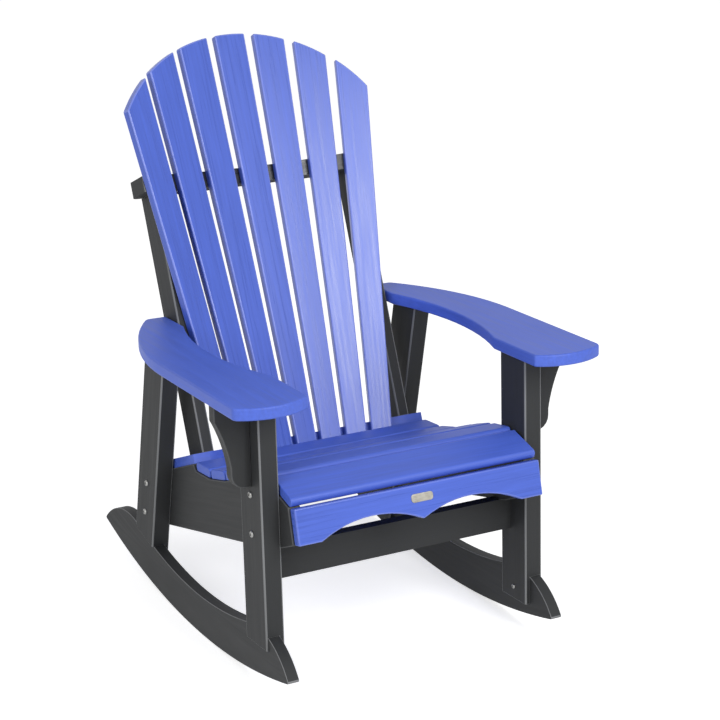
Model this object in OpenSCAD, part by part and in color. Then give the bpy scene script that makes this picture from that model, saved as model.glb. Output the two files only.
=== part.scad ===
// Rocking chair of lumber boards with a bowed, fanned back, wide arms and a scooped seat.
// X runs across the chair, -Y is the way it faces and Z is up from the floor. The frame stands upright in
// its own plane and leans back as one on the rockers. Places along the frame are measured from a
// setting-out line at the low point of the seat, and heights from the floor.

/* [Stance] */
// Backward lean of the whole upright frame on its rockers, degrees
frame_pitch = 3; // [0:0.5:6]

/* [Rockers] */
// Radius of the curved underside
rocker_r = 1550; // [1300:10:2000]
// Height of the curved board at rest over the floor contact
rocker_h = 83; // [75:1:100]
// Radius of the curved upper edge
rocker_top_r = 980; // [900:10:1400]
// Thickness of the board
rocker_t = 24; // [18:0.5:28]
// Where the rocker meets the floor at rest, behind the setting-out line
rest_y = 38; // [20:1:60]
// Front tip, ahead of the setting-out line
rocker_front = 403.5; // [380:0.5:450]
// Rear tip, behind the setting-out line
rocker_rear = 496.5; // [460:0.5:540]
// Radius in which the upper edge falls to the front tip
front_nose_r = 150; // [120:1:200]
// Radius in which the upper edge falls to the rear tip
rear_nose_r = 190; // [150:1:250]

/* [Legs] */
// Half the clear width between the left and right legs
leg_inside = 268.4; // [250:0.1:300]
// Thickness of a leg board, across the chair
leg_t = 38.1; // [36:0.1:50]
// Width of a leg board, along the chair
leg_w = 88.9; // [70:0.1:110]
// Centre of the front leg, ahead of the setting-out line
front_leg_y = 282.2; // [260:0.1:300]
// Centre of the rear leg's top, behind the setting-out line
rear_leg_y = 146.6; // [130:0.1:165]
// Forward lean of the rear leg inside the frame, degrees
rear_leg_lean = 14.4; // [8:0.1:18]
// Wood left outside the rocker slot
outer_cheek = 4; // [3:0.5:8]
// Height in the frame of the square end of the front leg's outer cheek
outer_end = 80; // [70:1:95]
// Height in the frame of the square end of the front leg's inner cheek
inner_end = 49; // [42:1:62]
// How far the rear leg's inner cheek laps down over the rocker
rear_lap = 64; // [50:1:68]

/* [Arms] */
// Height of the arm's upper face in the frame, at the setting-out line
arm_top = 596; // [560:1:640]
// Rise of the arm towards the rear inside the frame, degrees
arm_rise = 0.7; // [0:0.1:2]
// Thickness of the arm board
arm_t = 24; // [18:0.5:32]
// Outer edge of the arm from the middle of the chair
arm_outer = 390; // [370:1:420]
// Front corners of the arm, ahead of the setting-out line
arm_front = 405; // [385:1:430]
// How far the front edge swells beyond its corners
arm_swell = 25; // [10:1:40]
// Rear end of the arm, behind the setting-out line
arm_rear = 239; // [225:1:260]
// Where the outer edge starts to curve in, ahead of the setting-out line
arm_taper_start = 73; // [40:1:120]
// Room between the arm and the back upright beside it
arm_room = 0.2; // [0.1:0.05:0.5]
// Width of the arm's rear end
arm_tail = 45; // [35:1:70]
// How far the outer edge swells on its way to the rear end
arm_bulge = 25.5; // [15:1:35]
// Radius of the outer front corner
arm_corner_r = 16; // [8:1:24]
// Radius of the outer rear corner
arm_tail_r = 18; // [10:1:24]
// Depth of the hollow in the inner edge
arm_hollow = 35; // [15:1:45]
// Front end of the hollow, ahead of the setting-out line
hollow_front = 258; // [220:1:280]
// Rear end of the hollow, behind the setting-out line
hollow_rear = 148; // [120:1:160]

/* [Arm brackets] */
// Height of a bracket below the arm
bracket_h = 172; // [150:1:210]
// Reach of the bracket at the arm
bracket_top = 71.5; // [60:0.5:80]
// Height of the bracket's straight head
bracket_head = 36; // [20:1:50]
// Where the flare under the head ends, below the arm
bracket_neck = 130; // [110:1:138]
// Depth of the flare's curve
bracket_sweep = 4; // [2:0.5:9]
// Reach of the bracket's slim part
bracket_low = 41; // [36:0.5:48]
// Radius of the bracket's lower corner
bracket_round = 28; // [10:1:30]
// Thickness of the bracket
bracket_t = 22; // [18:0.5:30]

/* [Back] */
// Front of the back's middle slat at seat height, behind the setting-out line
back_y = 90.8; // [80:0.1:100]
// Height of that point in the frame
back_z = 330.2; // [315:0.1:345]
// Recline of the back inside the frame, degrees
recline = 20.4; // [16:0.1:24]
// Radius of the bow, from the sitter's side
bow_r = 652; // [600:2:760]
// Turn between neighbouring slats around the bow, degrees
slat_turn = 4.46; // [4:0.02:4.8]
// Spread between neighbouring slats in the plane of the back, degrees
slat_spread = 2.08; // [1.9:0.02:2.4]
// Depth below the seat at which the slats' middle lines would stand on the bow
spread_drop = 150; // [120:5:190]
// Width of a slat at the seat
slat_low_w = 44.8; // [40:0.2:48]
// Width of a slat at the crest
slat_high_w = 68; // [60:0.2:72]
// Thickness of a slat
slat_t = 20; // [16:0.5:24]
// Length of the middle slat above the seat
crest_h = 866; // [800:1:920]
// Radius of the arched top
crest_r = 335; // [310:1:400]
// Length of the slats below seat height
slat_tail = 12; // [6:1:14]
// Height of the upper back rail's underside along the back
upper_rail_h = 552; // [500:1:600]
// Thickness of the upper back rail
upper_rail_t = 33; // [28:0.5:40]
// Half the length of the upper back rail
upper_rail_half = 263; // [250:1:280]
// Rear edge of the upper rail and the uprights behind the middle slat's front
frame_depth = 60; // [50:1:70]
// Thickness of the back uprights, across the chair
upright_t = 25.4; // [20:0.1:28]
// Outer face of the back uprights from the middle of the chair
upright_outer = 240; // [230:0.5:250]
// Front edge of the uprights ahead of the middle slat's front
upright_front = 13; // [8:0.5:14]
// Half the length of the lower back rail
lower_rail_half = 265; // [255:1:268]
// Thickness of the lower back rail
lower_rail_t = 19; // [16:0.5:22]
// Underside of the lower back rail below seat height
lower_rail_drop = 6; // [4:0.5:8]
// Front edge of the lower back rail ahead of the middle slat's front
lower_rail_front = 20.5; // [18:0.5:24]
// Width of the lower back rail, front to back
lower_rail_w = 140; // [110:1:150]

/* [Seat] */
// Width of the seat slats
seat_slat_w = 65.5; // [58:0.5:70]
// Width of the front seat slat
front_slat_w = 84; // [70:0.5:95]
// Thickness of the seat slats
seat_t = 19; // [16:0.5:22]
// Half the length of the seat slats
seat_half = 265; // [255:1:268]
// Gap between the seat slats
seat_gap = 6; // [5:0.5:10]
// Rise of each seat slat towards its front edge, rear slat first, degrees
seat_tilt = [2.5, 13, 20, 17, 7.5, -17]; // [-30:0.5:30]
// Rear seat slat ahead of the lower back rail
seat_setback = 9.5; // [8:0.5:14]
// Rear seat slat's underside below the lower back rail's
seat_drop = 12.2; // [10:0.1:15]
// Rounding of the seat slats' upper edges
seat_round = 8; // [4:0.5:9]

/* [Side rails and front] */
// Thickness of the side rails
rail_t = 25.4; // [20:0.1:30]
// Height of the side rail's lower edge in the frame, at the setting-out line
rail_z = 202.5; // [190:0.5:215]
// Slope of the side rail's lower edge down to the rear, degrees
rail_slope = 12.1; // [10:0.1:14]
// Steeper slope of the lower edge ahead of the front leg, degrees
rail_cut = 22; // [18:0.5:28]
// Backward lean of the apron inside the frame, degrees
apron_lean = 12.7; // [8:0.1:18]
// Height of the side rail at its front end
rail_front_h = 71.5; // [60:0.1:80]
// Front seat slat's overhang past the side rail
seat_overhang = 4; // [2:0.5:6]
// Rear end of the side rail inside the rear leg's edge
rail_inset = 8; // [4:0.5:15]
// Thickness of the front apron
apron_t = 20; // [16:0.5:24]
// Half the length of the front apron
apron_half = 265; // [255:1:268]
// Gap between the apron and the front seat slat's underside
apron_gap = 2; // [1:0.1:6]
// Half the width across the arches in the apron's lower edge
arch_half = 217; // [180:1:235]
// Rise of the arches
arch_rise = 26.5; // [15:0.5:34]
// Height of the point between the arches
arch_point = 3; // [0:0.5:6]
// Lower edge of the front stretcher in the frame
stretcher_z = 196.5; // [180:0.5:210]
// Height of the front stretcher
stretcher_h = 64.5; // [60:0.5:75]
// Thickness of the front stretcher
stretcher_t = 25.4; // [20:0.1:30]
// Front of the stretcher behind the front leg's centre
stretcher_y = 10; // [0:0.5:15]

/* [Fastenings] */
// Diameter of the bolts through legs and side rails
bolt_d = 8; // [6:0.5:9]
// Diameter of the domed bolt heads
bolt_head_d = 13; // [11:0.5:16]
// Height of the bolt heads
bolt_head_h = 3.5; // [2:0.5:5]
// Width of the nuts across their corners
nut_d = 15; // [13:0.5:17]
// Height of the nuts
nut_h = 6.5; // [5:0.5:8]
// How far the bolts stand out of their nuts
bolt_out = 1; // [0.5:0.5:4]
// Lower bolt above the side rail's lower edge at the front leg
front_bolt_z = 38; // [24:1:44]
// Distance between the two front leg bolts
front_bolt_gap = 78; // [60:1:84]
// Lower bolt above the side rail's lower edge at the rear leg
rear_bolt_z = 36; // [20:1:40]
// Distance between the two rear leg bolts
rear_bolt_gap = 68; // [50:1:72]
// Rocker bolt in the front leg above the inner cheek's end
cheek_bolt_rise = 25; // [18:1:32]
// Diameter of the wood screws
screw_d = 5; // [4:0.5:6]
// Length of the wood screws
screw_l = 58; // [50:1:70]
// Diameter of the wood screw heads
screw_head_d = 9; // [8:0.5:11]
// Radial room round a bolt or screw in its hole
hole_clear = 0.2; // [0.1:0.05:0.4]
// Easing of the long board edges
edge_r = 3; // [1:0.5:5]

/* [Hidden] */
BLUE = "royalblue";
BLACK = "#303234";
STEEL = "silver";
SLATS = 7;
SEAT_SLATS = len(seat_tilt);
middle_slat = (SLATS + 1) / 2;
ARC_STEPS = 12;
CORNER_STEPS = 5;
$fn = 64;
BIG_FN = 720;
far = 2000;

// Legs and rockers across the chair
leg_outside = leg_inside + leg_t;
rocker_x1 = leg_outside - outer_cheek;
rocker_x0 = rocker_x1 - rocker_t;
rail_x0 = leg_inside - rail_t;
upright_inner = upright_outer - upright_t;
arm_bottom = arm_top - arm_t;
arm_inner = upright_outer + arm_room;

// Rocker, seen from the side: the centres of its lower and upper arcs, its tips and its nose centres
arc_centre = [rest_y, rocker_r];
top_centre = [rest_y, rocker_h + rocker_top_r];
function rocker_tip(y) = [y, rocker_r - sqrt(pow(rocker_r, 2) - pow(y - rest_y, 2))];
// Centre of a circle of radius r that meets a tip and bites a little into the upper arc on its inner side
nose_bite = 0.3;
function nose_centre(tip, r) = let (
        d = tip - top_centre,
        reach = norm(d),
        apart = rocker_top_r + r - nose_bite,
        along = (apart * apart - r * r + reach * reach) / (2 * reach),
        off = sqrt(apart * apart - along * along) * sign(d[0])
    ) top_centre + (d * along + [d[1], -d[0]] * off) / reach;
front_nose = nose_centre(rocker_tip(-rocker_front), front_nose_r);
rear_nose = nose_centre(rocker_tip(rocker_rear), rear_nose_r);
centre_y = (rocker_rear - rocker_front) / 2;

// Plane points are [distance behind the setting-out line, height]
function leaned(p, a) = [p[0] * cos(a) + p[1] * sin(a), p[1] * cos(a) - p[0] * sin(a)];
function on_back(depth, height) = [back_y, back_z] + leaned([depth, height], recline);
function on_top_arc(radius, p) = top_centre + radius * (p - top_centre) / norm(p - top_centre);
function to_floor(p) = leaned(p, frame_pitch);

// Lower back rail's front lower corner, where the seat begins
rail_seat = on_back(-lower_rail_front, -lower_rail_drop);

// Middle of each seat slat's rear edge, one after another towards the front
function seat_w(i) = i == SEAT_SLATS - 1 ? front_slat_w : seat_slat_w;
function seat_forward(tilt) = [-cos(tilt), sin(tilt)];
function seat_up(tilt) = [sin(tilt), cos(tilt)];
function seat_rear(i) = i == 0
    ? rail_seat + [-seat_setback, -seat_drop] + seat_up(seat_tilt[0]) * seat_t / 2
    : seat_front(i - 1) + seat_forward((seat_tilt[i - 1] + seat_tilt[i]) / 2) * seat_gap;
function seat_front(i) = seat_rear(i) + seat_forward(seat_tilt[i]) * seat_w(i);
function seat_below(i, p) = p - seat_up(seat_tilt[i]) * seat_t / 2;

// Side rail's front end, just behind the nose of the front seat slat
last = SEAT_SLATS - 1;
rail_top_front = seat_below(last, seat_front(last)) - seat_forward(seat_tilt[last]) * seat_overhang;
rail_low_front = rail_top_front - leaned([0, rail_front_h], apron_lean);
apron_h = rail_front_h - apron_gap;
function rail_low_z(y) = rail_z - y * tan(rail_slope);

// Rear leg, whose centre line runs down and back from its top
function rear_leg_at(z) = rear_leg_y + (arm_bottom - z) * tan(rear_leg_lean);
// Height at which the rear leg's centre line crosses the side rail's lower edge
rear_rail_z = (rail_z - rear_leg_at(0) * tan(rail_slope)) / (1 - tan(rear_leg_lean) * tan(rail_slope));
function rear_bolt(rise) = [rear_leg_at(rear_rail_z + rise), rear_rail_z + rise];
function front_bolt(rise) = [-front_leg_y, rail_low_z(-front_leg_y) + rise];
leg_bolt_places = [
    front_bolt(front_bolt_z), front_bolt(front_bolt_z + front_bolt_gap),
    rear_bolt(rear_bolt_z), rear_bolt(rear_bolt_z + rear_bolt_gap)
];

// Bolts through the inner cheeks, one in each leg
front_cheek_bolt = to_floor([-front_leg_y, inner_end + cheek_bolt_rise]);
rear_foot = to_floor([rear_leg_at(rocker_h), rocker_h]);
cheek_bolt_places = [front_cheek_bolt, on_top_arc(rocker_top_r + rear_lap / 2, rear_foot)];
cheek_bolt_d = bolt_d * 3 / 4;
cheek_bolt_l = rocker_x0 - leg_inside + rocker_t * 3 / 4;

// Screws from each upright into the arm, and from both back rails into the uprights' ends
function upright_front_at(z) = on_back(-upright_front, 0)[0] + (z - on_back(-upright_front, 0)[1]) * tan(recline);
arm_screw_from = upright_front_at(arm_top - arm_t / 2);
arm_screw_gap = (arm_rear - arm_screw_from) / 3;
arm_screw_places = [for (k = [1, 2]) [arm_screw_from + k * arm_screw_gap, -arm_t / 2]];
upright_mid = upright_outer - upright_t / 2;
upright_w = frame_depth + upright_front;
upright_screw_places = [for (k = [1, 3]) -upright_front + k * upright_w / 4];
upright_foot = lower_rail_t - lower_rail_drop;

// Outlines
// An arc from p to q that swells to the left of that direction by s, without its two ends
function bow(p, q, s, n = ARC_STEPS) = let (
        d = q - p,
        r = (d * d / 4 + s * s) / (2 * abs(s)),
        side = [-d[1], d[0]] / norm(d) * sign(s),
        c = (p + q) / 2 - side * (r - abs(s)),
        a = atan2(p[1] - c[1], p[0] - c[0]),
        b = atan2(q[1] - c[1], q[0] - c[0]),
        sweep = (b - a + 540) % 360 - 180
    ) [for (k = [1 : n - 1]) [c[0] + r * cos(a + sweep * k / n), c[1] + r * sin(a + sweep * k / n), 0]];

// The corner at p between its neighbours, rounded to radius r
function round_corner(before, p, after, r) = let (
        u = (before - p) / norm(before - p),
        v = (after - p) / norm(after - p),
        half = acos(u * v) / 2,
        c = p + (u + v) / norm(u + v) * r / sin(half),
        start = p + u * r / tan(half) - c,
        end = p + v * r / tan(half) - c,
        a = atan2(start[1], start[0]),
        b = atan2(end[1], end[0]),
        sweep = (b - a + 540) % 360 - 180
    ) [for (k = [0 : CORNER_STEPS])
        c + r * [cos(a + sweep * k / CORNER_STEPS), sin(a + sweep * k / CORNER_STEPS)]];

// An outline of [x, y, corner radius] points
function flat(p) = [p[0], p[1]];
function rounded(pts) = let (n = len(pts)) [for (i = [0 : n - 1]) each pts[i][2] > 0
    ? round_corner(flat(pts[(i + n - 1) % n]), flat(pts[i]), flat(pts[(i + 1) % n]), pts[i][2])
    : [flat(pts[i])]];

function eased_board(w, t) = rounded([
    [-w / 2, -t / 2, edge_r], [w / 2, -t / 2, edge_r], [w / 2, t / 2, edge_r], [-w / 2, t / 2, edge_r]]);

// Frames of reference
module on_floor() { translate([0, -centre_y, 0]) children(); }
module upright_frame() { on_floor() rotate([-frame_pitch, 0, 0]) children(); }
module arm_frame() { upright_frame() translate([0, 0, arm_top]) rotate([arm_rise, 0, 0]) children(); }
module back_frame() { upright_frame() translate([0, back_y, back_z]) rotate([-recline, 0, 0]) children(); }
module side(s) { mirror([s < 0 ? 1 : 0, 0, 0]) children(); }

// A side outline, in [along, up], as a board between two places across the chair
module across(x0, x1) { translate([x0, 0, 0]) rotate([90, 0, 90]) linear_extrude(x1 - x0) children(); }

// Rod across the chair at a side point
module rod(p, x0, x1, d) { translate([x0, p[0], p[1]]) rotate([0, 90, 0]) cylinder(d = d, h = x1 - x0); }

// All that lies past a rocker's nose, towards one end of the chair
module past_nose(centre, r, end) {
    below = on_top_arc(far, centre);
    difference() {
        polygon([top_centre, below, below + [end * far, 0], top_centre + [end * far, 0]]);
        translate(centre) circle(r = r, $fn = BIG_FN);
    }
}

module rocker_outline() {
    difference() {
        intersection() {
            translate(arc_centre) circle(r = rocker_r, $fn = BIG_FN);
            translate(top_centre - [far, far]) square([2 * far, far]);
        }
        translate(top_centre) circle(r = rocker_top_r, $fn = BIG_FN);
        past_nose(front_nose, front_nose_r, -1);
        past_nose(rear_nose, rear_nose_r, 1);
    }
}

module rocker(s) {
    color(BLACK) on_floor() side(s) difference() {
        across(rocker_x0, rocker_x1) rocker_outline();
        for (p = cheek_bolt_places) rod(p, leg_inside, leg_inside + cheek_bolt_l, cheek_bolt_d + 2 * hole_clear);
    }
}

// All that lies further down than an arc parallel to the rocker's upper edge, over a width of the leg
module below_arc(drop, x0, x1) {
    across(x0, x1) difference() {
        translate(top_centre) circle(r = far, $fn = BIG_FN);
        translate(top_centre) circle(r = rocker_top_r + drop, $fn = BIG_FN);
    }
}

// All that lies lower than a height in the frame, over a width of the leg
module below(z, x0, x1) { upright_frame() translate([x0, -far / 2, z - far]) cube([x1 - x0, far, far]); }

// The slot over the rocker, the bolt holes and the upper end of a leg
module leg_cuts() {
    on_floor() {
        across(rocker_x0, rocker_x1) rocker_outline();
        below_arc(rocker_h / 2, rocker_x0, rocker_x1);
        for (p = cheek_bolt_places) rod(p, leg_inside - leg_t, rocker_x0, cheek_bolt_d + 2 * hole_clear);
    }
    upright_frame() for (p = leg_bolt_places)
        rod(p, leg_inside - leg_t, leg_outside + leg_t, bolt_d + 2 * hole_clear);
    arm_frame() translate([0, -far / 2, -arm_t]) cube(far);
}

module front_leg(s) {
    color(BLACK) side(s) difference() {
        upright_frame() translate([leg_inside + leg_t / 2, -front_leg_y, 0])
            linear_extrude(arm_top) polygon(eased_board(leg_t, leg_w));
        leg_cuts();
        below(outer_end, rocker_x1 - rocker_t / 2, leg_outside + leg_t);
        below(inner_end, leg_inside - leg_t, rocker_x0 + rocker_t / 2);
    }
}

module rear_leg(s) {
    color(BLACK) side(s) difference() {
        upright_frame() translate([leg_inside + leg_t / 2, rear_leg_y, arm_bottom]) rotate([rear_leg_lean, 0, 0])
            translate([0, 0, -arm_top]) linear_extrude(arm_top + leg_w) polygon(eased_board(leg_t, leg_w));
        leg_cuts();
        on_floor() {
            below_arc(0, rocker_x1, leg_outside + leg_t);
            below_arc(rear_lap, leg_inside - leg_t, rocker_x0);
        }
    }
}

// Side rail: sloping board whose upper edge carries the seat slats and the lower back rail
module seat_hollow() {
    polygon(concat(
        [rail_top_front + [-far, 0], rail_top_front],
        [for (i = [last : -1 : 0]) each [
            if (i < last) seat_below(i, seat_front(i)),
            seat_below(i, seat_rear(i))
        ]],
        [rail_seat, on_back(far, -lower_rail_drop), [far, far], [-far, far]]
    ));
}

// The side above a line that falls towards the rear
module above(p, slope) { translate(p) rotate(-slope) translate([-far, 0]) square([2 * far, far]); }

module side_rail_outline() {
    difference() {
        intersection() {
            above([0, rail_z], rail_slope);
            above(rail_low_front, rail_cut);
            translate(rail_low_front) rotate(-apron_lean) translate([0, -far]) square([far, 2 * far]);
        }
        seat_hollow();
        translate([rear_leg_y, arm_bottom]) rotate(rear_leg_lean) translate([leg_w / 2 - rail_inset, -far])
            square([far, 2 * far]);
    }
}

module side_rail(s) {
    color(BLACK) upright_frame() side(s) difference() {
        across(rail_x0, leg_inside) side_rail_outline();
        for (p = leg_bolt_places) rod(p, rail_x0 - rail_t, leg_outside, bolt_d + 2 * hole_clear);
    }
}

// Front stretcher between the legs, notched at its upper corners for the side rails
module front_stretcher() {
    color(BLACK) upright_frame() difference() {
        across(-leg_inside, leg_inside) translate([stretcher_y - front_leg_y, stretcher_z])
            square([stretcher_t, stretcher_h]);
        for (s = [-1, 1]) side(s) across(rail_x0, leg_outside) side_rail_outline();
    }
}

// Front apron with two arches in its lower edge
module front_apron() {
    foot = [arch_half, 0];
    point = [0, arch_point];
    other_foot = [-arch_half, 0];
    outline = concat(
        [[-apron_half, apron_h], [-apron_half, 0], other_foot],
        [for (p = bow(other_foot, point, arch_rise)) flat(p)],
        [point],
        [for (p = bow(point, foot, arch_rise)) flat(p)],
        [foot, [apron_half, 0], [apron_half, apron_h]]
    );
    color(BLUE) upright_frame() translate([0, rail_low_front[0], rail_low_front[1]])
        rotate([90 - apron_lean, 0, 0]) linear_extrude(apron_t) polygon(outline);
}

// Seat slat, counted from the rear
module seat_slat(n) {
    i = n - 1;
    w = seat_w(i);
    h = seat_t / 2;
    color(BLUE) upright_frame() across(-seat_half, seat_half) translate(seat_rear(i)) rotate(-seat_tilt[i])
        polygon(rounded([
            [0, h, seat_round], [-w, h, seat_round], [-w, -h, i == last ? seat_round : edge_r],
            [0, -h, i == 0 ? seat_round : edge_r]]));
}

// Back slat, counted from the left: a tapering board, turned round the bow and spread like a fan
module back_slat_board(n) {
    step = n - middle_slat;
    taper = (slat_high_w - slat_low_w) / crest_h;
    low = (slat_low_w - slat_tail * taper) / 2;
    high = slat_high_w / 2;
    translate([0, -bow_r, 0]) rotate([0, 0, -step * slat_turn]) translate([0, bow_r, -spread_drop])
        rotate([90, step * slat_spread, 0]) translate([0, spread_drop, -slat_t])
            linear_extrude(slat_t)
                polygon([[-low, -slat_tail], [low, -slat_tail], [high, crest_h], [-high, crest_h]]);
}

// The arched crest that trims the tops of all the slats, cut square through one of them
module crest(n) {
    turn = (n - middle_slat) * slat_turn;
    translate([0, -bow_r, 0]) rotate([0, 0, -turn]) translate([-bow_r * sin(turn), bow_r, 0])
        rotate([90, 0, 0]) translate([0, 0, -far / 2]) linear_extrude(far) {
            translate([0, crest_h - crest_r]) circle(r = crest_r, $fn = BIG_FN);
            translate([-far / 2, -far + crest_h - crest_r]) square(far);
        }
}

module back_slat(n) {
    color(BLUE) back_frame() intersection() {
        back_slat_board(n);
        crest(n);
    }
}

// Hollow in the front edge of a back rail, with a flat seat for each slat
module slat_seats(z0, z1) {
    translate([0, -bow_r, z0]) cylinder(r = bow_r + slat_t, h = z1 - z0, $fn = BIG_FN);
    for (n = [1 : SLATS]) back_slat_board(n);
}

module upright_screw_holes() {
    for (s = [-1, 1], y = upright_screw_places) translate([s * upright_mid, y, -far / 2])
        cylinder(d = screw_d + 2 * hole_clear, h = far);
}

module lower_back_rail() {
    color(BLUE) back_frame() difference() {
        translate([-lower_rail_half, -lower_rail_front, -lower_rail_drop])
            cube([2 * lower_rail_half, lower_rail_w, lower_rail_t]);
        slat_seats(-lower_rail_drop - lower_rail_t, lower_rail_t * 2);
        upright_screw_holes();
    }
}

module upper_back_rail() {
    tip = bow_r * cos(slat_turn * SLATS / 2) - bow_r;
    color(BLACK) back_frame() difference() {
        translate([0, 0, upper_rail_h]) linear_extrude(upper_rail_t) polygon(rounded([
            [-upper_rail_half, tip, edge_r], [upper_rail_half, tip, edge_r],
            [upper_rail_half, frame_depth, upper_rail_half - upright_outer - edge_r],
            [-upper_rail_half, frame_depth, upper_rail_half - upright_outer - edge_r]]));
        slat_seats(upper_rail_h - upper_rail_t, upper_rail_h + 2 * upper_rail_t);
        upright_screw_holes();
    }
}

module arm_screw_holes() {
    for (p = arm_screw_places) rod(p, 0, upright_inner + screw_l, screw_d + 2 * hole_clear);
}

module back_upright(s) {
    color(BLACK) side(s) difference() {
        back_frame() translate([upright_mid, upright_w / 2 - upright_front, upright_foot])
            linear_extrude(upper_rail_h - upright_foot) polygon(eased_board(upright_t, upright_w));
        back_frame() upright_screw_holes();
        arm_frame() arm_screw_holes();
    }
}

// Arm: a wide board with a swollen front, a tapering rear and a hollow in its inner edge
module arm(s) {
    front_in = [arm_inner, -arm_front];
    front_out = [arm_outer, -arm_front];
    taper = [arm_outer, -arm_taper_start];
    tail = [arm_inner + arm_tail, arm_rear];
    hollow_a = [arm_inner, hollow_rear];
    hollow_b = [arm_inner, -hollow_front];
    outline = rounded(concat(
        [[front_in[0], front_in[1], edge_r]], bow(front_in, front_out, -arm_swell),
        [[front_out[0], front_out[1], arm_corner_r], [taper[0], taper[1], 0]], bow(taper, tail, -arm_bulge),
        [[tail[0], tail[1], arm_tail_r], [arm_inner, arm_rear, edge_r], [hollow_a[0], hollow_a[1], 0]],
        bow(hollow_a, hollow_b, arm_hollow),
        [[hollow_b[0], hollow_b[1], 0]]
    ));
    color(BLUE) arm_frame() side(s) difference() {
        translate([0, 0, -arm_t]) linear_extrude(arm_t) polygon(outline);
        arm_screw_holes();
    }
}

// Arm bracket: a flared corbel on the outer face of the front leg
module arm_bracket(s) {
    head = [leg_outside + bracket_top, -bracket_head];
    neck = [leg_outside + bracket_low, -bracket_neck];
    outline = rounded(concat(
        [[leg_outside, 0, 0], [head[0], 0, 0], [head[0], head[1], 0]],
        bow(head, neck, -bracket_sweep),
        [[neck[0], neck[1], 0], [neck[0], -bracket_h, bracket_round], [leg_outside, -bracket_h, 0]]
    ));
    color(BLACK) arm_frame() side(s) translate([0, bracket_t / 2 - front_leg_y, -arm_t])
        rotate([90, 0, 0]) linear_extrude(bracket_t) polygon(outline);
}

// Domed bolt along X, its head's inner face at x = 0 and its shank towards +X
module bolt(d, l, head_d, head_h) {
    rotate([0, 90, 0]) rotate_extrude() difference() {
        union() {
            translate([0, -head_h]) square([head_d / 2, head_h]);
            square([d / 2, l]);
        }
        translate([head_d / 2, -head_h]) rotate(45) square(head_h, center = true);
    }
}

module leg_bolts() {
    l = leg_outside - rail_x0 + nut_h + bolt_out;
    color(STEEL) upright_frame() for (s = [-1, 1], p = leg_bolt_places)
        side(s) translate([leg_outside, p[0], p[1]]) mirror([1, 0, 0]) bolt(bolt_d, l, bolt_head_d, bolt_head_h);
}

module leg_bolt_nuts() {
    color(STEEL) upright_frame() for (s = [-1, 1], p = leg_bolt_places) side(s) difference() {
        translate([rail_x0 - nut_h, p[0], p[1]]) rotate([0, 90, 0]) cylinder(d = nut_d, h = nut_h, $fn = 6);
        rod(p, rail_x0 - 2 * nut_h, rail_x0 + nut_h, bolt_d);
    }
}

module rocker_bolts() {
    color(STEEL) on_floor() for (s = [-1, 1], p = cheek_bolt_places)
        side(s) translate([leg_inside, p[0], p[1]])
            bolt(cheek_bolt_d, cheek_bolt_l, bolt_head_d * 3 / 4, bolt_head_h * 3 / 4);
}

// Flat-topped wood screw along Z, its head's inner face at z = 0 and its shank upwards
module screw() {
    head_h = screw_d / 2;
    translate([0, 0, -head_h]) cylinder(d = screw_head_d, h = head_h);
    cylinder(d = screw_d, h = screw_l);
}

module upright_screws() {
    color(STEEL) back_frame() for (s = [-1, 1], y = upright_screw_places) {
        translate([s * upright_mid, y, -lower_rail_drop]) screw();
        translate([s * upright_mid, y, upper_rail_h + upper_rail_t]) mirror([0, 0, 1]) screw();
    }
}

module arm_screws() {
    color(STEEL) arm_frame() for (s = [-1, 1], p = arm_screw_places)
        side(s) translate([upright_inner, p[0], p[1]]) rotate([0, 90, 0]) screw();
}

rocker(-1);  // rocker_left
rocker(1);  // rocker_right
front_leg(-1);  // front_leg_left
front_leg(1);  // front_leg_right
rear_leg(-1);  // rear_leg_left
rear_leg(1);  // rear_leg_right
side_rail(-1);  // side_rail_left
side_rail(1);  // side_rail_right
front_stretcher();
front_apron();
for (n = [1 : SEAT_SLATS]) seat_slat(n);
lower_back_rail();
back_upright(-1);  // back_upright_left
back_upright(1);  // back_upright_right
upper_back_rail();
for (n = [1 : SLATS]) back_slat(n);
arm(-1);  // arm_left
arm(1);  // arm_right
arm_bracket(-1);  // arm_bracket_left
arm_bracket(1);  // arm_bracket_right
leg_bolts();
leg_bolt_nuts();
rocker_bolts();
upright_screws();
arm_screws();
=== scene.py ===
"""Dresses the rocking chair: rounds its boards, fits its bolts and screws and gives each its finish."""

import math

import bmesh
import bpy
from bpy.props import FloatProperty, FloatVectorProperty, IntProperty, PointerProperty
from bpy.types import Operator, Panel, PropertyGroup
from mathutils import Matrix, Vector


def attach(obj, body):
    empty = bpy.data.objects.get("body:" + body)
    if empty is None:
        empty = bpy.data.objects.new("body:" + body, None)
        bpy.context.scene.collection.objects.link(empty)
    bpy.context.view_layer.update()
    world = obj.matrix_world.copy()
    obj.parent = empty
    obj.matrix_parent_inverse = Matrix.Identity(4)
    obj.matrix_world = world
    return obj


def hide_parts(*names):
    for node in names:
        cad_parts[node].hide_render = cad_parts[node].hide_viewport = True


bl_info = {
    "name": "Rocking chair boards and fastenings",
    "version": (1, 0, 0),
    "blender": (4, 5, 0),
    "location": "3D View > Sidebar > Chair",
    "description": "Rounds the boards of a rocking chair, fits its fastenings and gives each its finish",
    "category": "Object",
}

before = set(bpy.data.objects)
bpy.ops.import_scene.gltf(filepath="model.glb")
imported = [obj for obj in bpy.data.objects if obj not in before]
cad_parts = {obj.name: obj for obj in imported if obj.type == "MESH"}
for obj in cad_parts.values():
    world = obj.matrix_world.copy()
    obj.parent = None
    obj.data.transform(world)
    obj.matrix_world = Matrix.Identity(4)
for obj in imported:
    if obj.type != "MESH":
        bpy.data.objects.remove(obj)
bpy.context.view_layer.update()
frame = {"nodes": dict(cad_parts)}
NODES = frame["nodes"]

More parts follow.
